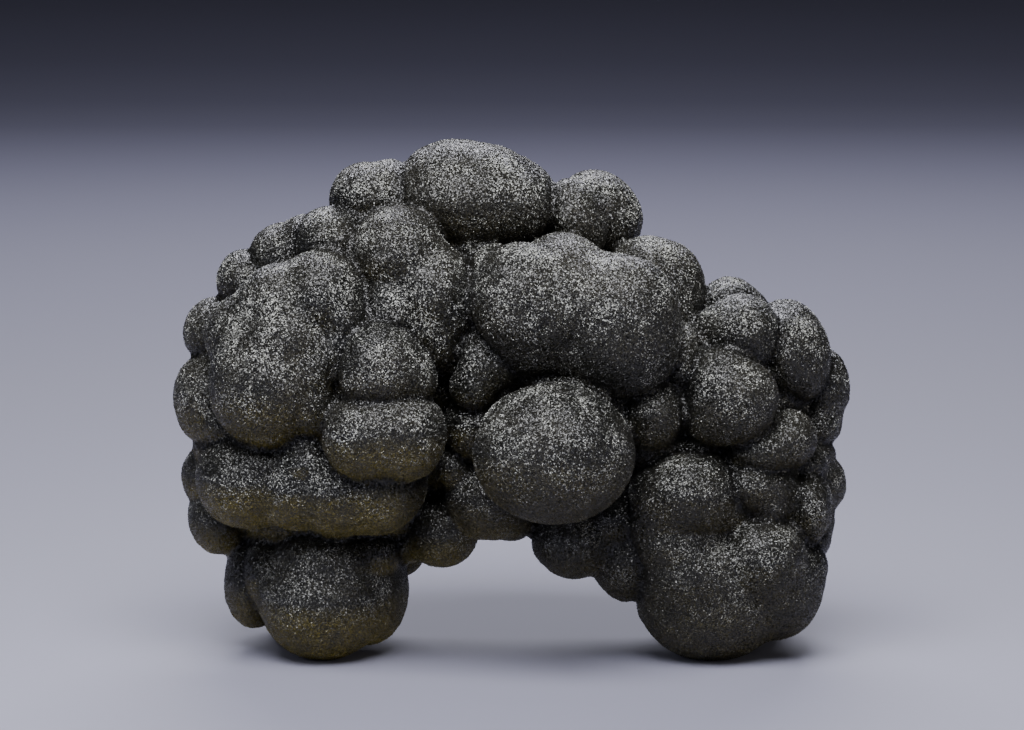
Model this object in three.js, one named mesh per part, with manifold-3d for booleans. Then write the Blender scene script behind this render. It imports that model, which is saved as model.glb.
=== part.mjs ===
// Mottramite specimen: rounded lobes grown into one another as a low arch that stands on two legs.
// One natural piece, so one closed solid. Millimetres, +Z up, the front faces -Y, and the origin is
// on the surface that it stands on, under the middle of the specimen.
import * as THREE from "three";
import { SimplifyModifier } from "three/addons/modifiers/SimplifyModifier.js";
import { mergeVertices } from "three/addons/utils/BufferGeometryUtils.js";
import Module from "manifold-3d";

// Driving dimensions. The lobes are listed as they look from the front, so the viewpoint is one too.
const VIEW_DISTANCE = 550;
const VIEW_DOWN_DEGREES = 8;
const VIEW_CENTRE_UP = 34.82;
const GROUND_UP = 1.6;
// The feet are cut off flat this far above the lowest point of their round undersides.
const REST_CUT = 0.35;
// How finely a lobe is faceted before the joined surface is thinned, by the lobe's half size.
const FACETS = [
  { under: 3.4, subdivisions: 2 },
  { under: 6.3, subdivisions: 3 },
  { under: 9.0, subdivisions: 4 },
  { under: Infinity, subdivisions: 5 },
];
const CORE_SUBDIVISIONS = 2;
// Flat facets cut inside a round lobe, so the corners stand out by this much to even that out.
const FACET_ALLOWANCE = 1.008;
const TRIANGLES = 9400;
const STONE = { color: "#3f4138", roughness: 0.6, metalness: 0 };

// Each lobe: across, up and back of its centre, then half width, half depth and half height, and for
// some a lean in degrees, clockwise from the front. Across and up are as seen from the viewpoint at
// the distance of the origin, and back is the real distance behind the origin.
const CORES = [
  [-23.0, 33.0, 2.0, 13.0, 15.0, 15.5],
  [0.0, 36.0, 3.0, 17.0, 15.0, 14.0],
  [24.0, 27.0, 2.0, 12.0, 13.0, 14.0],
  [22.0, 37.0, 1.0, 7.0, 8.0, 6.0],
  [-4.0, 26.5, 3.0, 12.0, 13.5, 8.5],
  [11.0, 26.5, 7.0, 9.0, 9.0, 7.0],
  [2.5, 47.0, 4.5, 6.0, 6.0, 5.0],
  [-20.0, 19.5, 2.0, 14.5, 13.5, 8.0],
  [13.0, 22.0, 2.0, 9.0, 12.0, 6.5],
  [-22.5, 11.5, 1.0, 8.5, 9.5, 8.5],
  [25.5, 12.5, -1.0, 9.5, 11.0, 9.5],
  [29.0, 19.0, 0.0, 6.0, 9.0, 6.0],
];

const FRONT_LOBES = {
  crown: [
    [-17.4, 54.2, 0.5, 4.3, 6.0, 4.5],
    [-14.0, 54.6, 0.5, 4.6, 6.0, 4.7],
    [-7.0, 54.7, 0.0, 7.6, 8.5, 6.8],
    [-3.0, 54.4, 0.0, 6.5, 8.3, 6.5, 10],
    [0.2, 53.9, 0.5, 5.6, 8.0, 5.4, 15],
    [-4.0, 47.0, -3.5, 3.8, 4.0, 3.2],
  ],
  ear: [
    [6.6, 51.3, 1.5, 4.4, 4.5, 4.9],
    [9.8, 52.0, 6.0, 5.4, 6.0, 6.0],
    [12.5, 51.7, 5.0, 2.9, 3.5, 3.8],
  ],
  shoulder: [
    [15.8, 44.6, -1.0, 5.3, 6.0, 5.6],
    [18.4, 44.1, -1.0, 4.5, 5.0, 5.5],
    [19.5, 41.0, -2.0, 3.2, 4.5, 4.5],
  ],
  brow: [
    [-20.1, 48.8, -5.5, 4.9, 6.0, 5.0],
    [-13.6, 47.9, -6.5, 6.2, 7.0, 5.9],
    [-10.0, 43.0, -8.5, 5.9, 6.5, 6.8],
    [-7.0, 43.5, -7.5, 3.2, 5.0, 4.5],
    [-10.8, 39.0, -9.0, 4.6, 5.0, 4.0],
  ],
  temple: [
    [-30.6, 44.6, 0.0, 4.3, 6.0, 4.2],
    [-27.1, 47.5, -0.5, 4.2, 6.0, 4.2],
    [-24.0, 49.0, -1.5, 3.8, 5.5, 3.8],
  ],
  cheek: [
    [-22.3, 42.6, -11.0, 5.9, 7.0, 6.3],
    [-27.0, 41.1, -9.5, 5.8, 7.0, 5.8],
    [-31.0, 38.4, -7.5, 5.3, 7.0, 5.2],
    [-28.6, 32.6, -12.0, 7.3, 8.0, 8.1],
    [-23.6, 34.6, -12.5, 4.2, 5.5, 5.3],
    [-26.8, 37.6, -12.2, 5.8, 6.6, 5.6],
  ],
  leftRim: [
    [-34.6, 38.7, 0.0, 4.2, 6.5, 4.3],
    [-35.0, 31.0, -3.0, 5.0, 7.0, 6.0],
  ],
  pair: [
    [-15.4, 34.0, -16.0, 5.3, 6.0, 6.2],
    [-12.2, 33.0, -15.5, 3.7, 4.5, 4.2],
    [-17.2, 26.4, -17.0, 5.3, 6.0, 5.6],
    [-12.8, 26.7, -17.0, 5.3, 6.0, 5.8],
  ],
  band: [
    [-31.0, 21.5, -8.5, 6.4, 8.0, 6.1],
    [-25.2, 20.6, -10.0, 5.0, 7.5, 5.4],
    [-20.5, 20.4, -11.0, 5.5, 8.0, 5.9],
    [-16.2, 21.2, -11.5, 6.5, 8.0, 6.5],
  ],
  leftEdge: [
    [-35.0, 22.0, 1.0, 3.9, 5.5, 4.2],
    [-34.2, 16.8, 0.0, 4.0, 6.0, 4.3],
    [-30.3, 9.4, -1.0, 3.7, 6.0, 5.7],
  ],
  leftFoot: [
    [-22.2, 7.4, -7.0, 7.8, 8.5, 7.4],
    [-16.6, 8.6, -4.0, 4.7, 7.0, 6.8],
    [-16.6, 12.9, -7.5, 3.7, 4.0, 3.2],
  ],
  archLeft: [
    [-8.3, 15.3, -6.0, 4.4, 5.5, 4.4],
    [-2.7, 19.3, -8.0, 5.4, 6.5, 5.1],
    [0.0, 17.4, -5.5, 3.4, 5.5, 3.3],
    [-6.8, 23.0, -9.0, 2.7, 3.5, 2.7],
  ],
  nook: [
    [-3.7, 35.0, -12.5, 3.4, 4.5, 3.9],
    [-2.2, 32.0, -12.5, 4.6, 4.5, 4.6],
    [-4.0, 28.0, -9.5, 4.3, 6.0, 4.8],
  ],
  centre: [
    [1.2, 42.2, -11.0, 6.3, 8.0, 7.0],
    [-2.0, 45.6, -8.5, 3.4, 5.0, 3.6],
    [5.8, 43.6, -9.5, 6.5, 8.5, 7.0],
    [11.0, 42.0, -10.0, 6.0, 8.5, 6.4],
    [12.7, 39.3, -11.0, 7.6, 9.0, 8.7],
    [5.5, 38.2, -12.0, 6.5, 7.5, 5.5],
  ],
  frontBall: [[5.0, 24.4, -18.5, 9.7, 8.5, 8.6]],
  pocket: [
    [16.3, 29.3, -10.5, 3.8, 4.5, 3.9],
    [20.0, 35.3, -7.5, 2.4, 4.5, 4.6],
    [16.5, 24.0, -7.0, 4.0, 5.0, 3.8],
  ],
  rightMiddle: [
    [24.9, 32.3, -10.5, 4.9, 6.0, 5.3],
    [26.0, 30.6, -11.0, 5.5, 6.0, 5.6],
    [23.2, 29.0, -10.5, 3.4, 4.8, 3.8],
  ],
  rightUpper: [
    [27.0, 38.4, -6.0, 4.9, 6.5, 5.0],
    [23.4, 39.4, -6.5, 2.0, 3.0, 2.2],
    [25.6, 41.5, 1.0, 4.0, 6.0, 3.8, 15],
    [28.0, 40.5, 0.0, 3.0, 5.0, 3.0, 15],
  ],
  rightRim: [
    [32.0, 36.7, -2.0, 5.0, 7.5, 6.0],
    [34.2, 35.2, -1.5, 3.6, 6.5, 5.0],
    [36.3, 32.4, 2.0, 3.6, 6.0, 4.7],
    [35.4, 28.0, 1.0, 3.5, 5.5, 3.4],
    [34.8, 24.6, 0.0, 3.4, 5.0, 3.0],
    [35.9, 20.9, 1.0, 3.6, 6.0, 3.6],
    [34.3, 16.8, 0.5, 3.7, 6.0, 4.0],
  ],
  elbow: [
    [32.4, 26.2, -7.5, 3.7, 5.0, 3.7],
    [28.6, 24.8, -8.5, 3.6, 4.5, 2.9],
    [30.7, 20.8, -7.0, 2.7, 4.0, 2.8],
    [27.2, 20.2, -8.0, 3.0, 4.5, 2.8],
    [34.9, 18.2, -6.5, 3.0, 5.0, 4.6],
  ],
  thigh: [
    [20.8, 19.6, -11.0, 6.0, 7.0, 5.8],
    [16.6, 15.5, -8.5, 4.2, 6.0, 4.5],
    [18.5, 17.0, -10.0, 4.8, 6.0, 4.8],
  ],
  rightFoot: [
    [23.4, 8.0, -6.5, 9.1, 9.5, 8.1],
    [30.6, 9.3, -5.5, 6.3, 8.0, 6.9],
    [28.8, 12.4, -9.0, 5.3, 6.0, 5.3],
    [34.7, 11.4, -6.0, 2.5, 4.5, 2.7],
    [19.2, 10.8, -7.0, 4.9, 6.5, 5.0],
  ],
  archRight: [
    [7.4, 14.5, -7.0, 5.3, 6.5, 4.9],
    [14.0, 12.6, -6.0, 5.1, 6.5, 5.7],
  ],
};

// The hidden side, with lobes of the same sizes as the front's.
const REAR_LOBES = {
  rearCrown: [
    [-15.0, 50.5, 8.0, 6.3, 6.5, 6.3],
    [-5.0, 51.8, 9.0, 7.5, 7.0, 7.0],
    [4.0, 49.3, 9.5, 6.5, 6.5, 6.0],
    [10.2, 49.0, 11.0, 5.0, 5.5, 5.2],
  ],
  rearBrow: [
    [-24.5, 43.3, 8.0, 6.5, 7.0, 6.5],
    [-12.5, 43.0, 13.0, 8.5, 7.5, 8.0],
    [2.5, 42.0, 14.0, 8.0, 7.0, 7.5],
    [14.5, 40.8, 10.5, 7.0, 7.0, 6.5],
    [25.0, 37.3, 8.0, 5.5, 6.0, 5.0],
  ],
  rearBelly: [
    [-31.8, 34.8, 7.0, 5.5, 6.5, 6.5],
    [-22.0, 32.3, 13.0, 8.0, 7.0, 8.0],
    [-7.5, 31.5, 15.5, 7.5, 6.5, 7.0],
    [6.5, 31.0, 15.5, 8.5, 6.5, 7.5],
    [19.5, 31.0, 12.5, 7.0, 7.0, 7.5],
    [30.3, 31.5, 8.0, 6.0, 6.5, 6.5],
  ],
  rearBand: [
    [-31.8, 23.3, 7.0, 5.5, 6.5, 6.0],
    [-22.5, 19.5, 12.0, 7.5, 6.5, 7.0],
    [-11.0, 21.5, 12.5, 7.0, 6.5, 6.0],
    [1.5, 22.5, 12.5, 7.0, 6.5, 6.0],
    [13.0, 21.0, 12.0, 7.0, 6.5, 6.5],
    [24.5, 20.5, 11.0, 7.0, 6.5, 6.5],
    [32.5, 22.0, 6.5, 4.5, 6.0, 5.5],
  ],
  underArch: [
    [-14.0, 14.5, 5.0, 4.6, 5.0, 5.0],
    [-7.5, 18.5, 3.0, 5.5, 6.0, 4.8],
    [1.2, 20.0, 2.5, 5.5, 6.0, 4.8],
    [9.5, 18.0, 3.5, 5.5, 6.0, 5.0],
    [16.0, 14.5, 3.0, 4.8, 6.0, 5.0],
  ],
  rearFeet: [
    [-22.5, 10.7, 8.5, 7.3, 7.5, 7.6],
    [25.5, 10.7, 8.0, 8.0, 7.5, 7.7],
    [31.6, 13.5, 5.0, 4.5, 5.5, 5.0],
  ],
};

const viewDown = THREE.MathUtils.degToRad(VIEW_DOWN_DEGREES);
const COS_DOWN = Math.cos(viewDown);
const SIN_DOWN = Math.sin(viewDown);
const groundBelowCentre = GROUND_UP - VIEW_CENTRE_UP;
const VIEW_CENTRE_HEIGHT =
  -groundBelowCentre / (COS_DOWN + (groundBelowCentre / VIEW_DISTANCE) * SIN_DOWN);

// The real place of a point that is seen at (across, up) and lies back from the origin, and how much
// further away it is than the origin, which is also how much larger it really is than it looks.
function placeSeen(across, up, back) {
  const seen = up - VIEW_CENTRE_UP;
  const rise =
    (seen * (1 + (back * COS_DOWN) / VIEW_DISTANCE) - back * SIN_DOWN) /
    (COS_DOWN + (seen / VIEW_DISTANCE) * SIN_DOWN);
  const further = 1 + (back * COS_DOWN - rise * SIN_DOWN) / VIEW_DISTANCE;
  const place = new THREE.Vector3(across * further, back, VIEW_CENTRE_HEIGHT + rise);
  return { place, further };
}

function subdivisionsFor(halfSize) {
  return FACETS.find((step) => halfSize < step.under).subdivisions;
}

// One lobe as a faceted ellipsoid in its real place.
function lobeGeometry([across, up, back, halfWidth, halfDepth, halfHeight, lean = 0], subdivisions) {
  const { place, further } = placeSeen(across, up, back);
  const size = new THREE.Vector3(halfWidth * further, halfDepth, halfHeight * further);
  const turn = new THREE.Quaternion().setFromEuler(
    new THREE.Euler(0, THREE.MathUtils.degToRad(lean), 0),
  );
  return new THREE.IcosahedronGeometry(FACET_ALLOWANCE, subdivisions).applyMatrix4(
    new THREE.Matrix4().compose(place, turn, size),
  );
}

const wasm = await Module();
wasm.setup();

function solidFrom(geometry) {
  const bare = geometry.clone();
  bare.deleteAttribute("normal");
  bare.deleteAttribute("uv");
  const merged = mergeVertices(bare, 1e-4);
  return new wasm.Manifold(
    new wasm.Mesh({
      numProp: 3,
      vertProperties: merged.attributes.position.array,
      triVerts: new Uint32Array(merged.index.array),
    }),
  );
}

function geometryFrom(solid) {
  const mesh = solid.getMesh();
  const geometry = new THREE.BufferGeometry();
  geometry.setAttribute("position", new THREE.BufferAttribute(mesh.vertProperties, mesh.numProp));
  geometry.setIndex(new THREE.BufferAttribute(mesh.triVerts, 1));
  return geometry;
}

// All lobes grown together.
function grownSolid() {
  const lobes = [...Object.values(FRONT_LOBES), ...Object.values(REAR_LOBES)].flat();
  const geometries = [
    ...CORES.map((core) => lobeGeometry(core, CORE_SUBDIVISIONS)),
    ...lobes.map((lobe) => lobeGeometry(lobe, subdivisionsFor(Math.max(...lobe.slice(3, 6))))),
  ];
  return geometries.map(solidFrom).reduce((grown, lobe) => grown.add(lobe));
}

// The same surface with the slivers along the creases merged away. A closed surface with no holes
// has half as many corners as triangles.
async function thinnedSolid(solid) {
  const geometry = geometryFrom(solid);
  const surplus = geometry.attributes.position.count - TRIANGLES / 2;
  return solidFrom(await new SimplifyModifier().modify(geometry, surplus));
}

// What lies under the cut that the feet stand on.
function underRest() {
  const block = new THREE.BoxGeometry(200, 200, 20);
  block.translate(0, 0, REST_CUT - 10);
  return solidFrom(block);
}

async function mottramite() {
  const grown = await thinnedSolid(grownSolid());
  const geometry = geometryFrom(grown.subtract(underRest()));
  geometry.computeBoundingBox();
  const box = geometry.boundingBox;
  const middle = box.getCenter(new THREE.Vector3());
  geometry.translate(-middle.x, -middle.y, -box.min.z);
  const mesh = new THREE.Mesh(geometry, new THREE.MeshStandardMaterial(STONE));
  mesh.name = "mottramite";
  return mesh;
}

const specimen = new THREE.Group();
specimen.add(await mottramite());

export default specimen;
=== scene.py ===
"""A mottramite specimen: dark rounded lobes grown into a low arch, under a crust of fine crystals."""
import math

import bmesh
import bpy
import numpy as np
from mathutils import Matrix, Vector, noise


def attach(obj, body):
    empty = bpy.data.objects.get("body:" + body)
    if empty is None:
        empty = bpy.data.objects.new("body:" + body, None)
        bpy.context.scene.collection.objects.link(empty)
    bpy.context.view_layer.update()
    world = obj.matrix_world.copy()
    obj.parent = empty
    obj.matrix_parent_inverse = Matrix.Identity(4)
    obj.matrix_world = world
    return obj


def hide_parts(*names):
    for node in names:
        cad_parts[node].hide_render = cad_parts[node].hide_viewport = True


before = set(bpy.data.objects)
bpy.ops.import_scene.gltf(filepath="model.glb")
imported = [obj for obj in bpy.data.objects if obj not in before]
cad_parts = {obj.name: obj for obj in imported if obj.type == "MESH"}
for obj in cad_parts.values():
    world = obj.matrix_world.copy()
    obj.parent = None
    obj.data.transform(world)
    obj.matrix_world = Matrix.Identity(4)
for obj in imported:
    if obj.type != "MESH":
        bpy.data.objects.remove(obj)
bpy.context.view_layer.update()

MM = 0.001

# The camera stands where the specimen was seen from. Heights as seen start at a line just below the
# specimen: the ground that it rests on shows at GROUND_UP, the middle of the view at VIEW_CENTRE_UP.
VIEW_DISTANCE = 550.0
VIEW_DOWN_DEGREES = 8.0
VIEW_CENTRE_UP = 34.82
GROUND_UP = 1.6
REST_CUT = 0.35  # the feet are cut flat by this much
PICTURE_WIDTH = 1024
PICTURE_SCALE = 8.5  # pixels for a millimetre at the distance of the point that the camera looks at
SENSOR_MM = 36.0

# Each lamp: its place, the point it is aimed at, its width and height, all in metres, then watts and
# colour.
LAMPS = {
    "overhead softbox": [(-0.02, -0.14, 0.28), (0, 0, 0.03), (0.24, 0.20), 2.25, "#fbfbff"],
    "left window": [(-0.55, -0.30, 0.30), (0, 0, 0.03), (0.20, 0.30), 0.9, "#f4f6ff"],
    "right card": [(0.60, -0.35, 0.22), (0, 0, 0.03), (0.20, 0.30), 0.8, "#fff8ee"],
    "rear softbox": [(0.0, 0.55, 0.45), (0, 0, 0), (0.50, 0.24), 4.8, "#f4f4ff"],
}
ROOM_COLOUR = "#d3d3de"
ROOM_STRENGTH = 0.09

# From here on sizes are in millimetres. The crust of crystals reaches the size that the lobes are
# listed with, so the stone under it is less by the crust.
CRUST_DEPTH = 0.17
STONE_STEP = 0.52
LARGE_LOBE = 7.0  # a lobe with a half size over this starts from a finer ball

# Lobes of one group run into each other over GROUP_ROUND. Groups meet in a crisp crease, which is cut
# in by CREASE_CUT and fades out over CREASE_WIDTH.
GROUP_ROUND = 0.40
CREASE_ROUND = 0.10
CREASE_WIDTH = 0.60
CREASE_CUT = 0.30

# The lobes swell a little every few millimetres, and are uneven at the size of a few crystals.
SWELL = 0.22
SWELL_LENGTH = 5.0
GRAIN = 0.10
GRAIN_LENGTH = 1.3
GRAIN_SHIFT = 31  # takes the fine unevenness from another part of the noise than the swells

# The crystals that stand as mesh are the large ones, 0.2 to 0.4 mm across.
CRYSTAL_SPACING = 0.22
CRYSTAL_WIDTH = 0.30
CRYSTAL_HEIGHT = 0.11
CRYSTAL_GRADES = (0.6, 1.25)  # the smallest and the largest, as shares of that width and height
CRYSTAL_IN_CREASE = 0.5  # the share of its size that a crystal has in the bottom of a crease
CRYSTAL_TILT_DEGREES = 30.0
CRYSTAL_SINK = 0.03
DRUSE_PIECES = ("left_flank", "left", "middle", "right", "right_flank")

# The facets of the finest crystals are some 0.03 mm across, too fine to show at this distance, so the
# facets and the grains of painted sparkle are drawn coarser, as coarse as the smallest specks that can
# be seen.
FACET = 0.135
FACET_LEAN = (0.8, 1.6)  # how far facets lean where the painted sparkle is thin, and where it is thick
SPARKLE_GRAIN = 0.12
CLOUD_PATCH = 3.6
TONE_PATCH = 9.0

# The mineral at its darkest and at its lightest, then the pale colour of its painted highlight, which
# stands for the glints of its facets.
STONE_COLOURS = ("#0f0f0c", "#1f1e19", "#989993")
CRYSTAL_COLOURS = ("#10100d", "#211f1a", "#cccdc6")
OCHRE = "#746822"

# Each lobe: across, up and back of its centre, then half width, half depth and half height, all in
# millimetres, and for some a lean in degrees, clockwise from the front. Across and up are as seen from
# the camera, for what is as far away as the point that it looks at. Back is real, from that point.

# Large lobes inside, which the outer ones grow on.
CORES = [
    [-23.0, 33.0, 2.0, 13.0, 15.0, 15.5],
    [0.0, 36.0, 3.0, 17.0, 15.0, 14.0],
    [24.0, 27.0, 2.0, 12.0, 13.0, 14.0],
    [22.0, 37.0, 1.0, 7.0, 8.0, 6.0],
    [-4.0, 26.5, 3.0, 12.0, 13.5, 8.5],
    [11.0, 26.5, 7.0, 9.0, 9.0, 7.0],
    [2.5, 47.0, 4.5, 6.0, 6.0, 5.0],
    [-20.0, 19.5, 2.0, 14.5, 13.5, 8.0],
    [13.0, 22.0, 2.0, 9.0, 12.0, 6.5],
    [-22.5, 11.5, 1.0, 8.5, 9.5, 8.5],
    [25.5, 12.5, -1.0, 9.5, 11.0, 9.5],
    [29.0, 19.0, 0.0, 6.0, 9.0, 6.0],
]

# The lobes that show from the front, in groups that run into each other.
FRONT_LOBES = {
    "crown left": [
        [-17.4, 54.2, 0.5, 4.3, 6.0, 4.5],
        [-14.0, 54.6, 0.5, 4.6, 6.0, 4.7],
    ],
    "crown": [
        [-7.0, 54.7, 0.0, 7.6, 8.5, 6.8],
        [-3.0, 54.4, 0.0, 6.5, 8.3, 6.5, 10],
        [0.2, 53.9, 0.5, 5.6, 8.0, 5.4, 15],
        [-4.0, 47.0, -3.5, 3.8, 4.0, 3.2],
    ],
    "ear front": [[7.4, 51.9, -1.0, 3.7, 4.5, 5.2, -22]],
    "ear": [
        [9.8, 52.0, 6.0, 5.4, 6.0, 6.0],
        [12.5, 51.7, 5.0, 2.9, 3.5, 3.8],
    ],
    "shoulder": [
        [15.8, 44.6, -1.0, 5.3, 6.0, 5.6],
        [18.4, 44.1, -1.0, 4.5, 5.0, 5.5],
        [19.5, 41.0, -2.0, 3.2, 4.5, 4.5],
    ],
    "brow left": [[-21.2, 48.7, -4.4, 4.9, 6.0, 5.0]],
    "brow": [
        [-13.4, 47.9, -7.2, 6.0, 7.0, 5.9],
        [-10.0, 43.0, -8.5, 5.9, 6.5, 6.8],
        [-7.0, 43.5, -7.5, 3.2, 5.0, 4.5],
        [-10.8, 39.0, -9.5, 4.8, 5.3, 4.2],
        [-8.8, 37.2, -9.3, 4.0, 5.0, 3.6],
        [-14.2, 42.0, -9.0, 4.3, 5.7, 4.6],
        [-14.6, 39.8, -10.6, 3.8, 5.0, 3.8],
        [-7.2, 40.6, -9.2, 3.3, 5.0, 4.2],
    ],
    "temple": [[-30.6, 44.6, 0.0, 4.3, 6.0, 4.2]],
    "temple top": [
        [-27.1, 47.5, -0.5, 4.2, 6.0, 4.2],
        [-24.0, 49.0, -1.5, 3.8, 5.5, 3.8],
    ],
    "cheek": [
        [-22.3, 42.6, -10.0, 5.5, 7.0, 6.2],
        [-19.8, 40.0, -11.5, 3.8, 5.3, 4.0],
        [-27.0, 41.1, -9.5, 5.8, 7.0, 5.8],
        [-31.0, 38.4, -7.5, 5.3, 7.0, 5.2],
        [-28.6, 32.6, -12.0, 7.3, 8.0, 8.1],
        [-23.6, 34.6, -12.5, 4.2, 5.5, 5.3],
        [-26.8, 37.6, -12.2, 5.8, 6.6, 5.6],
        [-23.4, 30.2, -12.2, 3.8, 5.8, 4.6],
        [-19.8, 37.0, -12.2, 3.6, 5.0, 4.0],
    ],
    "left rim top": [[-34.6, 38.7, 0.0, 4.2, 6.5, 4.3]],
    "left rim": [
        [-35.0, 31.0, -3.0, 5.0, 7.0, 6.0],
        [-33.0, 28.0, -6.5, 3.8, 5.2, 3.6],
    ],
    "pair top": [
        [-15.4, 34.0, -16.0, 5.3, 6.0, 6.2],
        [-12.2, 33.0, -15.5, 3.7, 4.5, 4.2],
    ],
    "pair": [
        [-17.2, 26.4, -17.0, 5.3, 6.0, 5.6],
        [-15.0, 27.4, -17.0, 5.6, 5.9, 5.2],
        [-12.8, 26.7, -17.0, 5.3, 6.0, 5.8],
    ],
    "band": [
        [-31.0, 21.5, -8.5, 6.4, 8.0, 6.1],
        [-25.2, 20.6, -10.0, 5.0, 7.5, 5.4],
        [-20.5, 20.4, -11.0, 5.5, 8.0, 5.9],
        [-24.5, 23.6, -11.5, 3.8, 5.8, 3.6],
        [-29.4, 23.6, -9.8, 4.6, 6.0, 4.0],
        [-24.4, 26.0, -11.6, 3.2, 5.0, 3.0],
        [-16.2, 21.2, -11.5, 6.5, 8.0, 6.5],
    ],
    "left edge": [
        [-35.0, 22.0, 1.0, 3.9, 5.5, 4.2],
        [-34.6, 25.6, -2.5, 3.1, 5.0, 2.8],
        [-34.2, 16.8, 0.0, 4.0, 6.0, 4.3],
        [-30.3, 9.4, -1.0, 3.7, 6.0, 5.7],
    ],
    "left foot": [
        [-22.2, 7.4, -7.0, 7.8, 8.5, 7.4],
        [-21.5, 12.2, -6.2, 6.5, 8.0, 4.8],
        [-16.6, 8.6, -4.0, 4.7, 7.0, 6.8],
        [-16.6, 12.9, -7.5, 3.7, 4.0, 3.2],
        [-28.6, 10.6, -3.6, 3.6, 6.2, 4.6],
    ],
    "arch left": [
        [-12.6, 14.6, -3.0, 3.4, 5.5, 3.4],
        [-8.3, 15.3, -6.0, 4.4, 5.5, 4.4],
        [-2.7, 19.3, -8.0, 5.4, 6.5, 5.1],
        [0.0, 17.4, -5.5, 3.4, 5.5, 3.3],
        [-6.8, 23.0, -9.0, 2.7, 3.5, 2.7],
    ],
    "nook": [
        [-3.4, 35.0, -11.2, 3.4, 4.6, 4.3, -25],
        [-4.4, 32.4, -11.2, 3.3, 4.6, 3.6],
        [-1.2, 35.4, -11.0, 3.6, 4.6, 3.6],
    ],
    "nook ball": [[-1.4, 31.8, -9.2, 3.9, 4.5, 3.7]],
    "nook low": [[-4.2, 28.0, -8.8, 4.2, 6.0, 4.8]],
    "under centre": [
        [3.6, 34.2, -10.0, 4.6, 5.2, 3.0],
        [11.6, 30.2, -9.5, 5.2, 5.4, 4.4],
        [7.8, 32.2, -10.4, 4.0, 5.8, 3.4],
    ],
    "centre": [
        [1.2, 42.6, -13.5, 6.3, 5.8, 6.9],
        [-2.0, 45.6, -8.5, 3.4, 5.0, 3.6],
        [5.8, 43.6, -9.5, 6.0, 8.5, 7.0],
        [3.0, 40.4, -14.5, 6.2, 4.9, 4.9],
        [3.0, 38.0, -12.4, 6.6, 5.2, 5.2],
        [8.5, 36.6, -12.0, 5.0, 5.6, 5.0],
        [9.0, 42.4, -11.0, 5.0, 8.0, 6.0],
        [12.4, 41.8, -9.8, 5.8, 8.7, 6.2],
        [13.1, 39.3, -14.0, 7.2, 6.0, 8.7],
        [10.2, 38.4, -12.5, 4.2, 6.6, 5.8],
    ],
    "front ball": [[5.0, 24.4, -18.5, 9.7, 8.5, 8.6]],
    "pocket": [
        [16.4, 29.2, -11.6, 4.2, 4.9, 4.3],
        [16.8, 25.0, -8.0, 4.0, 5.0, 3.8],
        [21.2, 24.6, -8.0, 3.4, 5.2, 2.6],
    ],
    "pocket top": [[19.9, 35.2, -8.8, 2.8, 4.9, 5.0]],
    "right middle": [
        [24.9, 32.3, -10.5, 4.9, 6.0, 5.3],
        [26.0, 30.6, -11.0, 5.5, 6.0, 5.6],
        [23.2, 29.0, -10.5, 3.4, 4.8, 3.8],
    ],
    "right upper": [
        [27.0, 38.4, -6.0, 4.9, 6.5, 5.0],
        [23.4, 39.4, -6.5, 2.0, 3.0, 2.2],
    ],
    "right upper rear": [
        [25.6, 41.5, 1.0, 4.0, 6.0, 3.8, 15],
        [28.0, 40.5, 0.0, 3.0, 5.0, 3.0, 15],
    ],
    "right rim": [
        [32.0, 36.7, -2.0, 5.0, 7.5, 6.0],
        [34.2, 35.2, -1.5, 3.6, 6.5, 5.0],
    ],
    "right rim edge": [
        [36.3, 32.4, 2.0, 3.6, 6.0, 4.7],
        [35.4, 28.0, 1.0, 3.5, 5.5, 3.4],
    ],
    "right rim low": [
        [34.8, 24.6, 0.0, 3.4, 5.0, 3.0],
        [34.3, 23.2, -3.8, 3.0, 4.8, 2.9],
        [35.9, 20.9, 1.0, 3.6, 6.0, 3.6],
        [34.3, 16.8, 0.5, 3.7, 6.0, 4.0],
        [35.0, 14.4, -2.2, 2.7, 4.5, 3.0],
    ],
    "elbow": [
        [32.4, 26.2, -7.8, 3.7, 5.2, 3.7],
        [29.4, 25.2, -9.2, 5.0, 5.2, 3.4, -12],
    ],
    "elbow low": [
        [30.7, 20.8, -8.2, 3.0, 4.6, 3.0],
        [27.8, 21.0, -9.3, 3.8, 5.4, 3.6],
        [29.6, 18.4, -7.8, 3.8, 5.2, 3.2],
        [34.9, 18.2, -6.5, 3.0, 5.0, 4.6],
    ],
    "thigh and right foot": [
        [20.8, 20.0, -11.0, 6.1, 7.0, 5.5],
        [16.6, 16.6, -8.5, 4.0, 6.0, 3.9],
        [18.5, 17.8, -10.0, 4.8, 6.0, 3.8],
        [17.2, 20.0, -10.4, 3.8, 5.8, 3.8],
        [25.0, 18.2, -8.6, 3.6, 5.4, 3.4],
        [19.5, 14.2, -9.4, 5.8, 6.8, 4.8],
        [23.4, 8.0, -6.5, 9.1, 9.5, 8.1],
        [30.6, 9.3, -5.5, 6.3, 8.0, 6.9],
        [29.3, 12.2, -9.6, 5.6, 6.8, 5.7],
        [21.6, 10.6, -8.7, 7.0, 8.0, 6.0],
        [34.7, 11.4, -6.0, 2.5, 4.5, 2.7],
        [19.2, 10.8, -7.0, 4.9, 6.5, 5.0],
    ],
    "arch right": [
        [7.4, 14.5, -7.0, 5.3, 6.5, 4.9],
        [14.0, 12.6, -6.0, 5.1, 6.5, 5.7],
        [11.8, 17.0, -7.4, 3.8, 5.6, 3.6],
    ],
}

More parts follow.
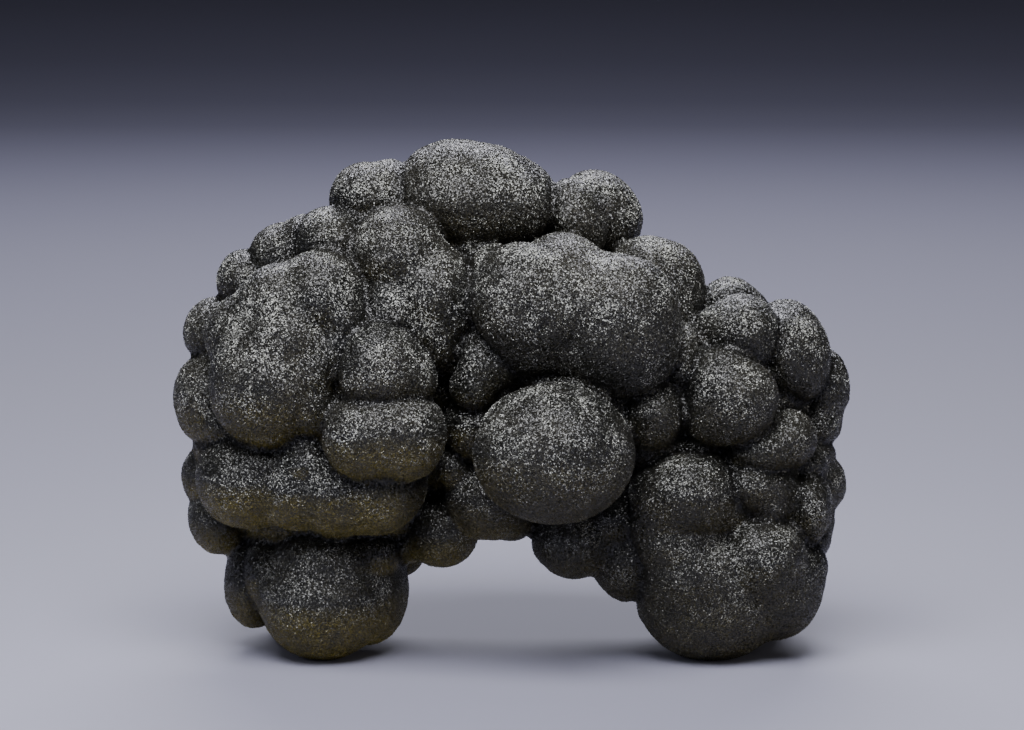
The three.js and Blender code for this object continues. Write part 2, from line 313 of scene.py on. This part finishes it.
# The hidden side, with lobes of the same sizes as the front's, and small ones in the pits between.
REAR_LOBES = {
    "rear crown": [
        [-15.0, 50.5, 8.0, 6.3, 6.5, 6.3],
        [-5.0, 51.8, 9.0, 7.5, 7.0, 7.0],
        [4.0, 49.3, 9.5, 6.5, 6.5, 6.0],
        [10.2, 49.0, 11.0, 5.0, 5.5, 5.2],
    ],
    "rear brow": [
        [-24.5, 43.3, 8.0, 6.5, 7.0, 6.5],
        [-12.5, 43.0, 13.0, 8.5, 7.5, 8.0],
        [2.5, 42.0, 14.0, 8.0, 7.0, 7.5],
        [14.5, 40.8, 10.5, 7.0, 7.0, 6.5],
        [25.0, 37.3, 8.0, 5.5, 6.0, 5.0],
    ],
    "rear belly": [
        [-31.8, 34.8, 7.0, 5.5, 6.5, 6.5],
        [-22.0, 32.3, 13.0, 8.0, 7.0, 8.0],
        [-7.5, 31.5, 15.5, 7.5, 6.5, 7.0],
        [6.5, 31.0, 15.5, 8.5, 6.5, 7.5],
        [19.5, 31.0, 12.5, 7.0, 7.0, 7.5],
        [30.3, 31.5, 8.0, 6.0, 6.5, 6.5],
    ],
    "rear band": [
        [-31.8, 23.3, 7.0, 5.5, 6.5, 6.0],
        [-22.5, 19.5, 12.0, 7.5, 6.5, 7.0],
        [-11.0, 21.5, 12.5, 7.0, 6.5, 6.0],
        [1.5, 22.5, 12.5, 7.0, 6.5, 6.0],
        [13.0, 21.0, 12.0, 7.0, 6.5, 6.5],
        [24.5, 20.5, 11.0, 7.0, 6.5, 6.5],
        [32.5, 22.0, 6.5, 4.5, 6.0, 5.5],
    ],
    "under arch": [
        [-14.0, 14.5, 5.0, 4.6, 5.0, 5.0],
        [-7.5, 18.5, 3.0, 5.5, 6.0, 4.8],
        [1.2, 20.0, 2.5, 5.5, 6.0, 4.8],
        [9.5, 18.0, 3.5, 5.5, 6.0, 5.0],
        [16.0, 14.5, 3.0, 4.8, 6.0, 5.0],
    ],
    "rear pits": [
        [-18.0, 37.8, 13.5, 4.5, 4.5, 4.0],
        [-5.0, 37.0, 16.6, 4.5, 4.0, 4.0],
        [8.5, 36.5, 15.2, 4.0, 4.0, 3.8],
        [20.0, 36.0, 11.5, 4.2, 4.2, 4.0],
        [-15.0, 26.0, 15.0, 4.5, 4.0, 3.8],
        [-1.0, 26.3, 16.2, 4.5, 4.0, 3.6],
        [12.8, 26.2, 14.6, 4.0, 4.0, 3.6],
        [25.5, 26.0, 12.0, 4.2, 4.2, 3.8],
        [-27.5, 28.5, 10.5, 4.0, 4.5, 4.0],
        [-10.0, 48.0, 12.4, 4.0, 4.0, 3.8],
        [0.5, 46.5, 13.0, 4.0, 4.0, 3.6],
        [-27.5, 15.0, 10.5, 4.2, 4.5, 4.2],
        [-17.0, 14.8, 11.0, 4.0, 4.5, 4.0],
        [20.0, 14.5, 10.2, 4.0, 4.5, 4.0],
        [30.5, 17.0, 9.0, 4.0, 4.5, 4.2],
        [-15.0, 32.0, 13.2, 3.8, 4.5, 3.8],
        [14.0, 32.0, 12.8, 3.8, 4.5, 3.8],
    ],
    "rear feet": [
        [-22.5, 10.7, 8.5, 7.3, 7.5, 7.6],
        [25.5, 10.7, 8.0, 8.0, 7.5, 7.7],
        [31.6, 13.5, 5.0, 4.5, 5.5, 5.0],
    ],
}


def add(tree, kind, inputs=None, **settings):
    """Adds a node with its settings. An input takes a value, or the socket that feeds it."""
    node = tree.nodes.new(kind)
    for name, value in settings.items():
        setattr(node, name, value)
    for key, value in (inputs or {}).items():
        if isinstance(value, bpy.types.NodeSocket):
            tree.links.new(value, node.inputs[key])
        else:
            node.inputs[key].default_value = value
    return node


def graded(tree, *rows):
    """A strength that depends on several values. Each row has a value, the two ends of its range and
    the strength at each end, which holds beyond it, and the strengths are multiplied."""
    strength = None
    for value, low, high, at_low, at_high in rows:
        ends = {"From Min": low, "From Max": high, "To Min": at_low, "To Max": at_high}
        part = add(tree, "ShaderNodeMapRange", {"Value": value, **ends}).outputs[0]
        if strength is not None:
            part = add(tree, "ShaderNodeMath", {0: strength, 1: part}, operation="MULTIPLY").outputs[0]
        strength = part
    return strength


def linear(hex_colour):
    """An sRGB hex colour as the linear RGBA that a socket takes."""
    parts = [int(hex_colour[i : i + 2], 16) / 255 for i in (1, 3, 5)]
    return [c / 12.92 if c <= 0.04045 else ((c + 0.055) / 1.055) ** 2.4 for c in parts] + [1.0]


# Places

VIEW_DOWN = math.radians(VIEW_DOWN_DEGREES)
COS_DOWN = math.cos(VIEW_DOWN)
SIN_DOWN = math.sin(VIEW_DOWN)
GROUND_BELOW_CENTRE = GROUND_UP - VIEW_CENTRE_UP
VIEW_CENTRE_HEIGHT = -GROUND_BELOW_CENTRE / (COS_DOWN + GROUND_BELOW_CENTRE / VIEW_DISTANCE * SIN_DOWN)


def place_seen(across, up, back):
    """The real place of a point as seen, and how many times larger a thing there is than it looks."""
    seen = up - VIEW_CENTRE_UP
    rise = (seen * (1 + back * COS_DOWN / VIEW_DISTANCE) - back * SIN_DOWN) / (
        COS_DOWN + seen / VIEW_DISTANCE * SIN_DOWN
    )
    further = 1 + (back * COS_DOWN - rise * SIN_DOWN) / VIEW_DISTANCE
    return (across * further, back, VIEW_CENTRE_HEIGHT + rise), further


def lobe(reading):
    """Centre, half sizes and turn of one lobe, before the shift to the frame's origin."""
    across, up, back, half_width, half_depth, half_height, *lean = reading
    centre, further = place_seen(across, up, back)
    turn = Matrix.Rotation(math.radians(lean[0] if lean else 0.0), 3, "Y")
    return centre, (half_width * further, half_depth, half_height * further), turn


def all_lobes():
    """All lobes as arrays, and where each group starts. Inside and behind, each lobe is a group."""
    groups = [[reading] for reading in CORES] + list(FRONT_LOBES.values())
    groups += [[reading] for rows in REAR_LOBES.values() for reading in rows]
    made = [lobe(reading) for group in groups for reading in group]
    centres = np.array([m[0] for m in made])
    halves = np.array([m[1] for m in made])
    turns = np.array([np.array(m[2]) for m in made])
    starts = np.cumsum([0] + [len(group) for group in groups[:-1]])
    return centres, halves, turns, starts


CENTRES, HALVES, TURNS, GROUP_STARTS = all_lobes()
REACH = np.sqrt(np.einsum("nij,nj->ni", TURNS**2, HALVES**2))
# The frame's origin is under the middle of the specimen, on the cut of the feet.
SHIFT = np.array(
    [
        -((CENTRES - REACH)[:, 0].min() + (CENTRES + REACH)[:, 0].max()) / 2,
        -((CENTRES - REACH)[:, 1].min() + (CENTRES + REACH)[:, 1].max()) / 2,
        -REST_CUT,
    ]
)
CENTRES = CENTRES + SHIFT


# Camera and light


def make_camera():
    """The camera that the lobes are listed for."""
    data = bpy.data.cameras.new("camera")
    data.sensor_width = SENSOR_MM
    data.lens = PICTURE_SCALE * VIEW_DISTANCE / PICTURE_WIDTH * SENSOR_MM
    data.clip_start = 0.01
    data.clip_end = 20.0
    camera = bpy.data.objects.new("camera", data)
    bpy.context.collection.objects.link(camera)
    target = Vector((SHIFT[0], SHIFT[1], VIEW_CENTRE_HEIGHT + SHIFT[2])) * MM
    backwards = Vector((0, -COS_DOWN, SIN_DOWN))
    camera.location = target + backwards * VIEW_DISTANCE * MM
    camera.rotation_euler = backwards.to_track_quat("Z", "Y").to_euler()
    bpy.context.scene.camera = camera


def make_lamp(name, place, target, size, watts, colour):
    """A soft rectangular lamp, aimed at the target."""
    data = bpy.data.lights.new(name, "AREA")
    data.shape = "RECTANGLE"
    data.size, data.size_y = size
    data.energy = watts
    data.color = linear(colour)[:3]
    lamp = bpy.data.objects.new(name, data)
    bpy.context.collection.objects.link(lamp)
    lamp.location = place
    lamp.rotation_euler = (Vector(place) - Vector(target)).to_track_quat("Z", "Y").to_euler()


def make_studio():
    """Soft lamps from above, both sides and behind, in a dim room."""
    for name, settings in LAMPS.items():
        make_lamp(name, *settings)
    world = bpy.data.worlds.new("studio")
    world.use_nodes = True
    room = world.node_tree.nodes["Background"]
    room.inputs["Color"].default_value = linear(ROOM_COLOUR)
    room.inputs["Strength"].default_value = ROOM_STRENGTH
    bpy.context.scene.world = world


def make_floor():
    """A pale matt sheet that curves up behind the specimen, with painted shade towards the back."""
    half_width, front, back, height, bend = 3.0, -1.6, 1.2, 1.8, 0.5
    steps = 16
    # The far colour is painted shade, for the light that falls off towards the back.
    near_colour, painted_falloff_colour, falloff_start, falloff_end = "#7d7d8c", "#505060", 0.0, 0.8
    profile = [(front, 0.0), (back - bend, 0.0)]
    for i in range(1, steps + 1):
        angle = math.pi / 2 * i / steps
        profile.append((back - bend + bend * math.sin(angle), bend - bend * math.cos(angle)))
    profile.append((back, height))
    verts = [(x, y, z) for y, z in profile for x in (-half_width, half_width)]
    faces = [(2 * i, 2 * i + 1, 2 * i + 3, 2 * i + 2) for i in range(len(profile) - 1)]
    mesh = bpy.data.meshes.new("floor")
    mesh.from_pydata(verts, [], faces)
    mesh.shade_smooth()
    floor = bpy.data.objects.new("floor", mesh)
    bpy.context.collection.objects.link(floor)
    # Painted shade: the paper is tinted darker towards the back, standing in for the light that falls
    # off there.
    material = bpy.data.materials.new("pale matt paper")
    material.use_nodes = True
    tree = material.node_tree
    shader = tree.nodes["Principled BSDF"]
    where = add(tree, "ShaderNodeSeparateXYZ", {0: add(tree, "ShaderNodeTexCoord").outputs["Object"]})
    behind = graded(tree, (where.outputs["Y"], falloff_start, falloff_end, 0.0, 1.0))
    painted_falloff = add(
        tree,
        "ShaderNodeMix",
        {0: behind, 6: linear(near_colour), 7: linear(painted_falloff_colour)},
        data_type="RGBA",
    )
    tree.links.new(painted_falloff.outputs[2], shader.inputs["Base Color"])
    shader.inputs["Roughness"].default_value = 0.7
    mesh.materials.append(material)


# The stone's surface


def depth_and_slope(points):
    """How far each point is outside the grown lobes, which way is out, and how much farther the next
    group of lobes is, which is nothing in a crease."""
    depths = np.empty(len(points), np.float32)
    gaps = np.empty(len(points), np.float32)
    slopes = np.empty((len(points), 3), np.float32)
    centres = CENTRES.astype(np.float32)
    halves = (HALVES - CRUST_DEPTH).astype(np.float32)
    turns = TURNS.astype(np.float32)
    sizes = np.diff(np.append(GROUP_STARTS, len(centres)))
    group_of = np.repeat(np.arange(len(sizes)), sizes)
    tiny = 1e-9
    faded = 60  # roundings away, where a lobe has no weight left
    chunk = 3000  # points at a time, to spare memory
    for first in range(0, len(points), chunk):
        part = points[first : first + chunk].astype(np.float32)
        local = np.einsum("pni,nij->pnj", part[:, None, :] - centres, turns)
        shaped = local / halves
        steep = shaped / halves
        # A lobe's skin is one half size out from its centre, and the steepness makes that millimetres.
        round_size = np.linalg.norm(shaped, axis=2)
        steepness = np.linalg.norm(steep, axis=2) + tiny
        depth = round_size * (round_size - 1) / steepness
        nearest = np.minimum.reduceat(depth, GROUP_STARTS, axis=1)
        weight = np.exp(-np.minimum((depth - nearest[:, group_of]) / GROUP_ROUND, faded))
        total = np.add.reduceat(weight, GROUP_STARTS, axis=1)
        group_depth = nearest - GROUP_ROUND * np.log(total)
        weight /= total[:, group_of]
        least = group_depth.min(axis=1, keepdims=True)
        gaps[first : first + chunk] = np.partition(group_depth, 1, axis=1)[:, 1] - least[:, 0]
        group_weight = np.exp(-np.minimum((group_depth - least) / CREASE_ROUND, faded))
        group_total = group_weight.sum(axis=1, keepdims=True)
        depths[first : first + chunk] = (least - CREASE_ROUND * np.log(group_total))[:, 0]
        weight *= (group_weight / group_total)[:, group_of]
        way = np.einsum("pnj,nij->pni", steep / steepness[..., None], turns)
        slopes[first : first + chunk] = np.einsum("pn,pni->pi", weight, way)
    slopes /= np.linalg.norm(slopes, axis=1, keepdims=True) + tiny
    return depths, slopes, gaps


def joined_lobes():
    """A mesh of all lobes as they are, each a closed ball."""
    balls = bmesh.new()
    for centre, half, turn in zip(CENTRES, HALVES - CRUST_DEPTH, TURNS):
        fineness = 5 if max(half) > LARGE_LOBE else 4
        place = Matrix.Translation(Vector(centre)) @ Matrix(turn.tolist()).to_4x4()
        bmesh.ops.create_icosphere(
            balls, subdivisions=fineness, radius=1.0, matrix=place @ Matrix.Diagonal((*half, 1.0))
        )
    mesh = bpy.data.meshes.new("lobes")
    balls.to_mesh(mesh)
    balls.free()
    return mesh


def keep_largest(mesh):
    """Keeps the largest closed skin, and deletes the others, which are walls of pockets inside."""
    skin = bmesh.new()
    skin.from_mesh(mesh)
    skin.verts.ensure_lookup_table()
    seen = np.zeros(len(skin.verts), bool)
    largest = []
    for start in skin.verts:
        if seen[start.index]:
            continue
        island, front = [start], [start]
        seen[start.index] = True
        while front:
            vert = front.pop()
            for edge in vert.link_edges:
                other = edge.other_vert(vert)
                if not seen[other.index]:
                    seen[other.index] = True
                    island.append(other)
                    front.append(other)
        if len(island) > len(largest):
            largest = island
    kept = {vert.index for vert in largest}
    bmesh.ops.delete(skin, geom=[v for v in skin.verts if v.index not in kept], context="VERTS")
    bmesh.ops.recalc_face_normals(skin, faces=skin.faces)
    skin.to_mesh(mesh)
    skin.free()


def vertex_places(mesh):
    """The mesh's vertices as rows of X, Y and Z, in the mesh's own unit."""
    places = np.empty(len(mesh.vertices) * 3, np.float32)
    mesh.vertices.foreach_get("co", places)
    return places.reshape(-1, 3)


def swelling(places):
    """How far low swells and a finer unevenness lift each place."""
    heights = np.empty(len(places), np.float32)
    for i, (x, y, z) in enumerate(places.tolist()):
        swell = noise.noise((x / SWELL_LENGTH, y / SWELL_LENGTH, z / SWELL_LENGTH))
        grain = noise.noise((x / GRAIN_LENGTH + GRAIN_SHIFT, y / GRAIN_LENGTH, z / GRAIN_LENGTH))
        heights[i] = SWELL * swell + GRAIN * grain
    return heights


def grown_stone():
    """The stone under the crystals, as one closed skin drawn onto the lobes."""
    lobes = bpy.data.objects.new("mottramite", joined_lobes())
    bpy.context.collection.objects.link(lobes)
    remesh = lobes.modifiers.new("skin", "REMESH")
    remesh.mode = "VOXEL"
    remesh.voxel_size = STONE_STEP
    evaluated = lobes.evaluated_get(bpy.context.evaluated_depsgraph_get())
    mesh = bpy.data.meshes.new_from_object(evaluated)
    lobes.modifiers.clear()
    lobes.data = mesh
    mesh.name = "mottramite"
    keep_largest(mesh)
    places = vertex_places(mesh)
    rounds, largest_move = 4, 0.6
    for _ in range(rounds):
        depth, slope, _gap = depth_and_slope(places)
        places -= slope * np.clip(depth, -largest_move, largest_move)[:, None]
    _depth, slope, gap = depth_and_slope(places)
    crease = np.exp(-np.maximum(gap, 0) / CREASE_WIDTH)
    places += slope * (swelling(places) - CREASE_CUT * crease)[:, None]
    places[:, 2] = np.maximum(places[:, 2], 0.0)
    mesh.vertices.foreach_set("co", (places * MM).ravel())
    # The crust and the finishes use how deep in a crease a place is, and how far it faces up.
    for name, values in (("crease", crease), ("upward", slope[:, 2])):
        mesh.attributes.new(name, "FLOAT", "POINT").data.foreach_set("value", values)
    mesh.update()
    mesh.shade_smooth()
    return lobes


# The crust of crystals


def druse_tree(material):
    """Crystals over the part of a surface between two places along X, each tilted its own way."""
    tree = bpy.data.node_groups.new("druse", "GeometryNodeTree")
    panel = tree.interface
    panel.new_socket("Stone", in_out="INPUT", socket_type="NodeSocketGeometry")
    for name, value in (
        ("From", -1.0),
        ("To", 1.0),
        ("Spacing", CRYSTAL_SPACING * MM),
        ("Width", CRYSTAL_WIDTH * MM),
        ("Height", CRYSTAL_HEIGHT * MM),
        ("Tilt", math.radians(CRYSTAL_TILT_DEGREES)),
        ("Sink", CRYSTAL_SINK * MM),
    ):
        panel.new_socket(name, in_out="INPUT", socket_type="NodeSocketFloat").default_value = value
    panel.new_socket("Seed", in_out="INPUT", socket_type="NodeSocketInt").default_value = 1
    panel.new_socket("Crystals", in_out="OUTPUT", socket_type="NodeSocketGeometry")
    given = add(tree, "NodeGroupInput").outputs
    across = add(
        tree, "ShaderNodeSeparateXYZ", {0: add(tree, "GeometryNodeInputPosition").outputs[0]}
    ).outputs["X"]
    after = add(tree, "FunctionNodeCompare", {0: across, 1: given["From"]}, operation="GREATER_THAN")
    before = add(tree, "FunctionNodeCompare", {0: across, 1: given["To"]}, operation="LESS_EQUAL")
    here = add(
        tree, "FunctionNodeBooleanMath", {0: after.outputs[0], 1: before.outputs[0]}, operation="AND"
    )
    # Points are tried densely, and those nearer to another than the spacing are dropped.
    tried_for_each_square = 4.0
    points = add(
        tree,
        "GeometryNodeDistributePointsOnFaces",
        {
            "Mesh": given["Stone"],
            "Selection": here.outputs[0],
            "Distance Min": given["Spacing"],
            "Density Max": tried_for_each_square / (CRYSTAL_SPACING * MM) ** 2,
            "Seed": given["Seed"],
        },
        distribute_method="POISSON",
    )
    crystal = add(
        tree,
        "GeometryNodeMeshCone",
        {"Vertices": 3, "Radius Top": 0.0, "Radius Bottom": 0.5, "Depth": 1.0},
        fill_type="NGON",
    )
    # Each crystal stands out of the stone, is tilted two ways by up to the angle, and turned at random.
    lean = add(
        tree,
        "ShaderNodeVectorMath",
        {0: (1.0, 1.0, 0.0), "Scale": given["Tilt"]},
        operation="SCALE",
    )
    lean_back = add(tree, "ShaderNodeVectorMath", {0: lean.outputs[0], "Scale": -1.0}, operation="SCALE")
    tilt = add(
        tree,
        "FunctionNodeRandomValue",
        {0: lean_back.outputs[0], 1: lean.outputs[0], "Seed": given["Seed"]},
        data_type="FLOAT_VECTOR",
    )
    spin = add(
        tree,
        "FunctionNodeRandomValue",
        {2: 0.0, 3: math.tau, "Seed": 7},
        data_type="FLOAT",
    )
    spin_turn = add(tree, "ShaderNodeCombineXYZ", {"Z": spin.outputs[1]})
    tilted = add(
        tree,
        "FunctionNodeRotateRotation",
        {"Rotation": points.outputs["Rotation"], "Rotate By": tilt.outputs[0]},
        rotation_space="LOCAL",
    )
    turned = add(
        tree,
        "FunctionNodeRotateRotation",
        {"Rotation": tilted.outputs[0], "Rotate By": spin_turn.outputs[0]},
        rotation_space="LOCAL",
    )
    # Crystals in a crease between lobes have less room and stay smaller.
    smallest, largest = CRYSTAL_GRADES
    grade = add(
        tree, "FunctionNodeRandomValue", {2: smallest, 3: largest, "Seed": 11}, data_type="FLOAT"
    )
    crease = add(tree, "GeometryNodeInputNamedAttribute", {"Name": "crease"}, data_type="FLOAT")
    room = add(
        tree,
        "ShaderNodeMapRange",
        {"Value": crease.outputs[0], "To Min": 1.0, "To Max": CRYSTAL_IN_CREASE},
    )
    grown = add(tree, "ShaderNodeMath", {0: grade.outputs[1], 1: room.outputs[0]}, operation="MULTIPLY")
    shape = add(tree, "ShaderNodeCombineXYZ", {0: given["Width"], 1: given["Width"], 2: given["Height"]})
    size = add(
        tree,
        "ShaderNodeVectorMath",
        {0: shape.outputs[0], "Scale": grown.outputs[0]},
        operation="SCALE",
    )
    sunk = add(
        tree,
        "ShaderNodeVectorMath",
        {0: points.outputs["Normal"], "Scale": given["Sink"]},
        operation="SCALE",
    )
    deeper = add(tree, "ShaderNodeVectorMath", {0: sunk.outputs[0], "Scale": -1.0}, operation="SCALE")
    seated = add(
        tree,
        "GeometryNodeSetPosition",
        {"Geometry": points.outputs["Points"], "Offset": deeper.outputs[0]},
    )
    standing = add(
        tree,
        "GeometryNodeInstanceOnPoints",
        {
            "Points": seated.outputs[0],
            "Instance": crystal.outputs["Mesh"],
            "Rotation": turned.outputs[0],
            "Scale": size.outputs[0],
        },
    )
    real = add(tree, "GeometryNodeRealizeInstances", {0: standing.outputs[0]})
    finished = add(
        tree, "GeometryNodeSetMaterial", {"Geometry": real.outputs[0], "Material": material}
    )
    add(tree, "NodeGroupOutput", {"Crystals": finished.outputs[0]})
    return tree


def region_edges(mesh, count):
    """X values that part the surface into strips of equal area, from well left to well right of it."""
    beyond = 1.0
    areas = np.empty(len(mesh.polygons), np.float32)
    mesh.polygons.foreach_get("area", areas)
    middles = np.empty(len(mesh.polygons) * 3, np.float32)
    mesh.polygons.foreach_get("center", middles)
    across = middles.reshape(-1, 3)[:, 0]
    order = np.argsort(across)
    filled = np.cumsum(areas[order]) / areas.sum()
    inner = [float(across[order][np.searchsorted(filled, i / count)]) for i in range(1, count)]
    return [-beyond] + inner + [beyond]


def grow_druse(stone, material):
    """The crystals on the stone, in strips from left to right."""
    tree = druse_tree(material)
    sockets = {item.name: item.identifier for item in tree.interface.items_tree}
    edges = region_edges(stone.data, len(DRUSE_PIECES))
    pieces = []
    for number, name in enumerate(DRUSE_PIECES):
        piece = bpy.data.objects.new("druse_" + name, stone.data.copy())
        bpy.context.collection.objects.link(piece)
        growth = piece.modifiers.new("growth", "NODES")
        growth.node_group = tree
        growth[sockets["From"]] = edges[number]
        growth[sockets["To"]] = edges[number + 1]
        growth[sockets["Seed"]] = number + 1
        evaluated = piece.evaluated_get(bpy.context.evaluated_depsgraph_get())
        crystals = bpy.data.meshes.new_from_object(evaluated)
        piece.modifiers.clear()
        piece.data = crystals
        crystals.name = piece.name
        lift_to_ground(crystals)
        pieces.append(piece)
    return pieces


def lift_to_ground(mesh):
    """Flattens what would reach under the surface that the specimen stands on."""
    places = vertex_places(mesh)
    places[:, 2] = np.maximum(places[:, 2], 0.0)
    mesh.vertices.foreach_set("co", places.ravel())
    mesh.update()


# Finishes


def mottramite_finish(name, dark, light, painted_sparkle):
    """Mottramite: a dark olive-black lead copper vanadate with a near-adamantine lustre. Its surface is
    a sugary crust of facets that lie each its own way, so it sparkles white where they catch the light,
    and a painted highlight adds white specks as a pale colour on some grains.
    """
    material = bpy.data.materials.new(name)
    material.use_nodes = True
    tree = material.node_tree
    shader = tree.nodes["Principled BSDF"]
    where = add(tree, "ShaderNodeTexCoord").outputs["Object"]
    place = add(tree, "ShaderNodeSeparateXYZ", {0: where})
    upward = add(tree, "ShaderNodeAttribute", attribute_name="upward").outputs["Fac"]
    crease = add(tree, "ShaderNodeAttribute", attribute_name="crease").outputs["Fac"]

    # The mineral itself: near black, warmer in broad patches, each facet with a tone of its own, and
    # with painted shade that darkens it in the creases, where little light comes back out of the crust.
    patch = add(
        tree, "ShaderNodeTexNoise", {"Vector": where, "Scale": 1 / (TONE_PATCH * MM), "Detail": 3.0}
    )
    tone = add(tree, "ShaderNodeValToRGB", {"Fac": patch.outputs["Fac"]})
    tone.color_ramp.elements[0].position = 0.38
    tone.color_ramp.elements[0].color = linear(dark)
    tone.color_ramp.elements[1].position = 0.64
    tone.color_ramp.elements[1].color = linear(light)
    facets = add(tree, "ShaderNodeTexVoronoi", {"Vector": where, "Scale": 1 / (FACET * MM)})
    each = add(tree, "ShaderNodeSeparateColor", {0: facets.outputs["Color"]})
    # Random tone of each facet, times painted shade in the creases.
    facet_tone_and_crease_shade = graded(tree, (each.outputs[0], 0.0, 1.0, 0.2, 1.8), (crease, 0.0, 0.9, 1.0, 0.15))
    bare = add(
        tree, "ShaderNodeVectorMath", {0: tone.outputs["Color"], "Scale": facet_tone_and_crease_shade}, operation="SCALE"
    )

    # Undersides keep an ochre film of weathered mineral, strongest low on the left, and patchy: the eye
    # sees olive bands under the lobes.
    cloud = add(
        tree,
        "ShaderNodeTexNoise",
        {"Vector": where, "Scale": 1 / (CLOUD_PATCH * MM), "Detail": 5.0, "Roughness": 0.7},
    ).outputs["Fac"]
    film = graded(
        tree,
        (upward, 0.1, -0.9, 0.0, 1.0),
        (place.outputs["X"], -12 * MM, 2 * MM, 1.0, 0.25),
        (place.outputs["Z"], 24 * MM, 34 * MM, 1.0, 0.2),
        (cloud, 0.40, 0.56, 0.5, 1.0),
        (each.outputs[2], 0.0, 1.0, 0.5, 1.0),
    )
    # The ochre gets the same painted shade in the creases.
    ochre = add(
        tree, "ShaderNodeVectorMath", {0: linear(OCHRE)[:3], "Scale": facet_tone_and_crease_shade}, operation="SCALE"
    )
    filmed = add(
        tree, "ShaderNodeMix", {0: film, 6: bare.outputs[0], 7: ochre.outputs[0]}, data_type="RGBA"
    )

    # Painted highlight: a pale colour sits on some of the grains, in patches a few millimetres across,
    # and gives the white specks that stand for glints of the facets. More grains have it where the crust
    # looks up towards the lamps, none in the creases, where shade falls, and it is thinner low down,
    # where less light reaches.
    painted_sparkle_share = graded(
        tree,
        (cloud, 0.45, 0.67, 0.07, 0.43),
        (upward, -0.8, 0.5, 0.5, 1.0),
        (crease, 0.0, 0.55, 1.0, 0.0),
    )
    grains = add(tree, "ShaderNodeTexVoronoi", {"Vector": where, "Scale": 1 / (SPARKLE_GRAIN * MM)})
    grain = add(tree, "ShaderNodeSeparateColor", {0: grains.outputs["Color"]})
    over = add(tree, "ShaderNodeMath", {0: painted_sparkle_share, 1: grain.outputs[1]}, operation="SUBTRACT")
    painted_sparkle_mask = graded(
        tree,
        (over.outputs[0], 0.0, 0.13, 0.0, 1.0),
        (place.outputs["Z"], 5 * MM, 36 * MM, 0.4, 1.0),
    )
    # Painted highlight: the pale colour is mixed into the base colour here.
    with_painted_sparkle = add(
        tree,
        "ShaderNodeMix",
        {0: painted_sparkle_mask, 6: filmed.outputs[2], 7: linear(painted_sparkle)},
        data_type="RGBA",
    )
    tree.links.new(with_painted_sparkle.outputs[2], shader.inputs["Base Color"])

    # Each facet leans its own way, more where the painted sparkle is, so that single facets flash.
    centred = add(
        tree,
        "ShaderNodeVectorMath",
        {0: facets.outputs["Color"], 1: (0.5, 0.5, 0.5)},
        operation="SUBTRACT",
    )
    steepness = graded(tree, (cloud, 0.42, 0.62, *FACET_LEAN))
    lean = add(
        tree, "ShaderNodeVectorMath", {0: centred.outputs[0], "Scale": steepness}, operation="SCALE"
    )
    outward = add(tree, "ShaderNodeNewGeometry").outputs["Normal"]
    leaning = add(tree, "ShaderNodeVectorMath", {0: outward, 1: lean.outputs[0]}, operation="ADD")
    facing = add(tree, "ShaderNodeVectorMath", {0: leaning.outputs[0]}, operation="NORMALIZE")
    tree.links.new(facing.outputs[0], shader.inputs["Normal"])
    # Single crystals are glossier and bend light more than this (2.2), but the pits between them keep
    # much of what they reflect, so the crust as a whole gives back less.
    shader.inputs["Roughness"].default_value = 0.30
    shader.inputs["IOR"].default_value = 1.47
    return material


def main():
    make_camera()
    make_studio()
    make_floor()
    stone = grown_stone()
    stone.data.materials.append(mottramite_finish("massive mottramite", *STONE_COLOURS))
    druse = grow_druse(stone, mottramite_finish("mottramite crystals", *CRYSTAL_COLOURS))
    for piece in (stone, *druse):
        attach(piece, "root")
        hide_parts("mottramite")


main()
